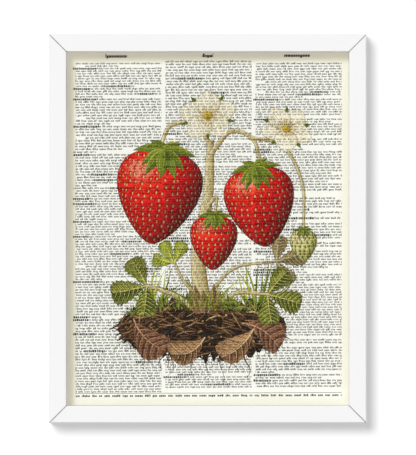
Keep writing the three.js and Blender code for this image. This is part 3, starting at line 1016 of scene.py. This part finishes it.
def soil(inks):
    """A clod of earth with straw, crumbs and dead leaves, and roots that hang below it."""
    t = np.linspace(-0.995, 0.995, 90)
    knots = np.linspace(-1, 1, 45)
    share = np.linspace(-1, 1, 18)[:, None]
    ragged = np.interp(t, knots, 1 + 0.12 * chance.normal(0, 1, 45))
    places = clod(t, share * ragged)
    shade = 0.06 + 0.08 * share + chance.normal(0, 0.06, places.shape)

    count = 40
    foot = clod(chance.uniform(-0.92, 0.92, count), chance.uniform(-0.9, -0.4, count))[:, None]
    u = np.linspace(0, 1, 18)
    aside = foot.real - CLOD.real
    drop = chance.uniform(7, 24, (count, 1)) * (1 - 0.5 * (aside / ROOTS_SHORTEN) ** 2)
    wave = np.sin(u * chance.uniform(3, 9, (count, 1)) + chance.uniform(0, 6, (count, 1)))
    roots = foot - 1j * drop * u + aside * 0.16 * u + 2.4 * wave * u
    thick = chance.uniform(0.5, 1.5, (count, 1)) * along(18, 1.0, 0.55, 0.12)
    inks.lines(roots, thick, tones(np.full(count, 0.10), SOIL))
    inks.lines(roots - 0.12, thick * 0.6, tones(chance.uniform(0.4, 0.8, count), SOIL))
    inks.sheet(places, tones(shade, SOIL))

    def straws(number, low, high, length, width, bright, spread):
        """Bent straws strewn over the clod between two heights, each over a dark line."""
        t = chance.uniform(-0.98, 0.98, number)
        at = clod(t, chance.uniform(low, high, number))
        slope = -t * 30 + chance.normal(0, 26, number)
        u = np.linspace(-0.5, 0.5, 7)
        bent = chance.normal(0, 0.22, (number, 1))
        size = chance.uniform(0.4, 1.0, number)[:, None] * length
        paths = at[:, None] + toward(slope)[:, None] * size * (u + 1j * bent * u * u)
        level = bright + 0.16 * (at.imag - CLOD.imag) / CLOD_TOP + chance.normal(0, 0.16, number)
        thick = chance.uniform(0.5, 1.0, (number, 1)) * width * along(7, 0.4, 1.0, 0.9, 0.2)
        inks.lines(paths, thick * 1.35, tones(np.full(number, 0.02), SOIL), spread)
        inks.height -= LAYER * spread * 0.5
        inks.lines(paths + 0.12j, thick * 0.8, tones(level, SOIL), spread)

    straws(420, -1.0, 0.95, 10, 0.9, 0.30, 3)
    at = clod(chance.uniform(-0.97, 0.97, 380), chance.uniform(-1.05, 1.0, 380))
    way = toward(chance.uniform(0, 180, 380))
    inks.spots(at, chance.uniform(0.3, 1.2, 380) * way, 0.7, tones(chance.random(380) ** 1.6, SOIL))
    straws(200, -0.95, 0.9, 17, 1.25, 0.62, 4)
    level = inks.height
    leaflet(inks, -52 - 63j, -44, 32, (10, 12), -0.5, RUST, veins=7, tooth=0.12)
    inks.height = level
    leaflet(inks, 24 - 66j, -34, 31, (12, 8), 0.5, RUST, veins=7, tooth=0.12)
    leaflet(inks, 32 - 70j, 222, 30, (8, 11), 0.4, DEAD, veins=6, tooth=0.12, hatch=90)
    inks.height = level
    leaflet(inks, -2 - 76j, 206, 27, (8, 11), 0.7, DEAD, veins=6, tooth=0.12, hatch=80)


def moss(inks, count, low, high, stops):
    """Short upright tufts along the top of the clod."""
    x = chance.uniform(low, high, count)
    t = (x - CLOD.real) / CLOD_HALF
    roots = clod(t, chance.uniform(0.55, 1.0, count))
    ways = 90 - t * 35 + chance.normal(0, 24, count)
    lengths = chance.uniform(2.5, 8, count)
    blades(inks, roots, ways, lengths, 0.7, stops, bend=0.3, spread=3)


def tuft(inks, root, count, reach):
    """Grass blades that fan from one root."""
    ways = 90 + np.linspace(-1, 1, count) * 42 + chance.normal(0, 5, count)
    roots = root + chance.uniform(-3, 3, count)
    lengths = reach * chance.uniform(0.55, 1.0, count)
    blades(inks, roots, ways, lengths, 1.5, YOUNG, bend=0.22, spread=6)


def draw_plate():
    """A wild strawberry on its clod: what lies behind, the earth, what stands in front, the fruit."""
    ink = plate_ink()

    back = Inks("ink_back")
    tuft(back, -40 - 62j, 16, 38)
    back.again()
    tuft(back, 34 - 62j, 18, 42)
    tuft(back, -4 - 60j, 14, 36)
    stem(back, (CROWN, 18 - 28j, 48 - 23j), (2.6, 2.0, 1.6), hairs=70)
    stem(back, (CROWN, -16 - 38j, -24 - 22j), (2.6, 2.0, 1.6), hairs=70)
    level = back.height
    leaf(back, 48 - 23j, 16, 20, LEAF_BACK, 66, 0.3)
    back.height = level
    leaf(back, -24 - 24j, 112, 17, YOUNG, 50, -0.4)
    back.piece(ink)

    ground = Inks("ink_ground")
    soil(ground)
    moss(ground, 240, -54, 48, MOSS)
    ground.piece(ink)

    front = Inks("ink_front")
    stem(front, (-3 - 57j, -7 - 16j, 0 + 22j, 2 + 62j), (12.5, 9.6, 7.4, 5.0), hairs=260, count=90)
    level = front.height
    stem(front, (2 - 58j, 20 - 45j, 42 - 46j), (4.2, 3.0, 2.2), hairs=80)
    leaf(front, 42 - 46j, -16, 24, LEAF, 66, 0.15)
    front.height = level
    stem(front, (-6 - 58j, -24 - 46j, -43 - 40j), (4.2, 3.0, 2.2), hairs=80)
    leaf(front, -43 - 40j, 192, 24, LEAF, 72, -0.15)
    front.height = level
    stem(front, (2 + 58j, -8 + 73j, -26 + 72j, -33 + 57j), (3.6, 2.9, 2.5), hairs=80)
    stem(front, (2 + 52j, 16 + 68j, 32 + 62j, 37 + 43j), (3.6, 2.8, 2.4), hairs=70)
    stem(front, (0 + 16j, 6 + 22j, 5 + 9j), (3.0, 2.4, 2.0), hairs=20)
    stem(front, (28 + 64j, 52 + 58j, 66 + 32j, 67 - 2j), (2.6, 2.2, 1.9), hairs=70)
    front.height = level + LAYER
    for turn, reach in ((34, 17), (-36, 16), (20, 20), (-18, 21), (4, 16)):
        sepal(front, CROWN - 9j - 0.12 * turn, 90 + turn, reach, 7, -0.006 * turn, SHEATH)
        front.height += LAYER
    moss(front, 90, -22, 20, YOUNG[:4])
    front.piece(ink)

    fruit = Inks("ink_fruit")
    berry(fruit, -35 + 22j, 262, 66, 60)
    fruit.again()
    berry(fruit, 37 + 15j, 278, 56, 49)
    fruit.again()
    berry(fruit, 4 - 10j, 268, 38, 33, spacing=4.4)
    fruit.again()
    berry(fruit, 67 - 12j, 272, 22, 19, UNRIPE, spacing=3.4, seed=SEED_UNRIPE)
    fruit.again()
    flower(fruit, 0 + 79j, 21, 20, 10)
    fruit.again()
    flower(fruit, 55 + 70j, 19, 50, -20)
    fruit.piece(ink)


draw_plate()


# ---------------------------------------------------------------- wall, floor, lights, camera

WALL_SIZE = 3.0
WALL_CLEARANCE = 0.0002
FLOOR_DROP = 1.5


def plane(name, centre, turn, material):
    """A large flat backdrop, which is no part of the object."""
    bpy.ops.mesh.primitive_plane_add(size=WALL_SIZE, location=centre, rotation=turn)
    made = bpy.context.object
    made.name = name
    made.data.materials.append(material)
    return made


def wall_finish():
    """Matt white, seen from its front only, so that the frame's back can be seen through it."""
    f = Finish("wall_white", roughness=1.0, specular_ior_level=0.0, base_color=(0.98, 0.98, 0.98, 1))
    behind = f.node("ShaderNodeNewGeometry", out="Backfacing")
    through = f.node("ShaderNodeBsdfTransparent")
    front = Value(f, f.principled.outputs[0])
    both = f.node("ShaderNodeMixShader", sockets={0: behind, 1: front, 2: through})
    f.tree.links.new(both.socket, f.output.inputs["Surface"])
    return f.material


def stage():
    """The wall takes the frame's shadow and throws no light back. The floor is far below."""
    wall = plane(
        "wall", (0, outer_high.y + WALL_CLEARANCE, CENTRE_Z), (math.pi / 2, 0, 0), wall_finish()
    )
    wall.visible_shadow = False
    wall.visible_diffuse = False
    wall.visible_glossy = False
    floor_finish = Finish("floor_pale", roughness=0.8, base_color=(0.8, 0.8, 0.8, 1))
    floor = plane("floor", (0, -WALL_SIZE / 2, -FLOOR_DROP), (0, 0, 0), floor_finish.material)
    floor.visible_diffuse = False


def sun(name, towards, strength, spread):
    """A far soft lamp. towards is the way to it from the object, and spread its width in degrees."""
    lamp = bpy.data.lights.new(name, "SUN")
    lamp.energy = strength
    lamp.angle = math.radians(spread)
    made = bpy.data.objects.new(name, lamp)
    bpy.context.scene.collection.objects.link(made)
    made.rotation_euler = Vector(towards).to_track_quat("Z", "Y").to_euler()
    return made


AMBIENT = 0.05  # the even light on the object. The camera sees the ground behind it as pure white


def lights():
    """Soft lamps before the frame, and others that show its sides and its back."""
    sun("key", (-0.285, -1, 0.32), 1.60, 20)
    fill = sun("fill", (0, -1, 0), 1.60, 1)
    fill.visible_glossy = False
    for lamp in (
        sun("edge", (-1, -0.04, 1), 0.75, 10),
        sun("rear_left", (-0.8, 0.7, 0.5), 1.8, 40),
        sun("rear_right", (0.8, 0.3, 0.2), 2.1, 40),
        sun("below", (0.1, 0.1, -1), 1.2, 60),
    ):
        lamp.data.cycles.max_bounces = 0  # so that none of their light comes round to the front
    world = bpy.data.worlds.new("studio")
    bpy.context.scene.world = world
    world.use_nodes = True
    s = Shade(world.node_tree)
    seen = s.node("ShaderNodeLightPath", out="Is Camera Ray")
    background = world.node_tree.nodes["Background"]
    background.inputs["Color"].default_value = (1, 1, 1, 1)
    strength = AMBIENT + seen * (1 - AMBIENT)
    world.node_tree.links.new(strength.socket, background.inputs["Strength"])


LENS = 900  # both in millimetres: a far camera with a narrow view, so the frame shows square
SENSOR = 36
VIEW_HEIGHT = 0.3176  # what the camera takes in from top to bottom, at the rails' front
VIEW_SHIFT_X = 0.00015  # the frame stands a little left of the middle
VIEW_SHIFT_Z = 0.0008


def camera():
    """Square before the frame, at the height of its middle."""
    data = bpy.data.cameras.new("camera")
    data.lens = LENS
    data.sensor_width = SENSOR
    data.clip_start = 0.05
    data.clip_end = 100
    made = bpy.data.objects.new("camera", data)
    bpy.context.scene.collection.objects.link(made)
    distance = VIEW_HEIGHT * LENS / SENSOR
    made.location = (VIEW_SHIFT_X, FRONT_Y - distance, CENTRE_Z + VIEW_SHIFT_Z)
    made.rotation_euler = (math.pi / 2, 0, 0)
    bpy.context.scene.camera = made


stage()
lights()
camera()
bpy.context.scene.view_settings.view_transform = "Standard"
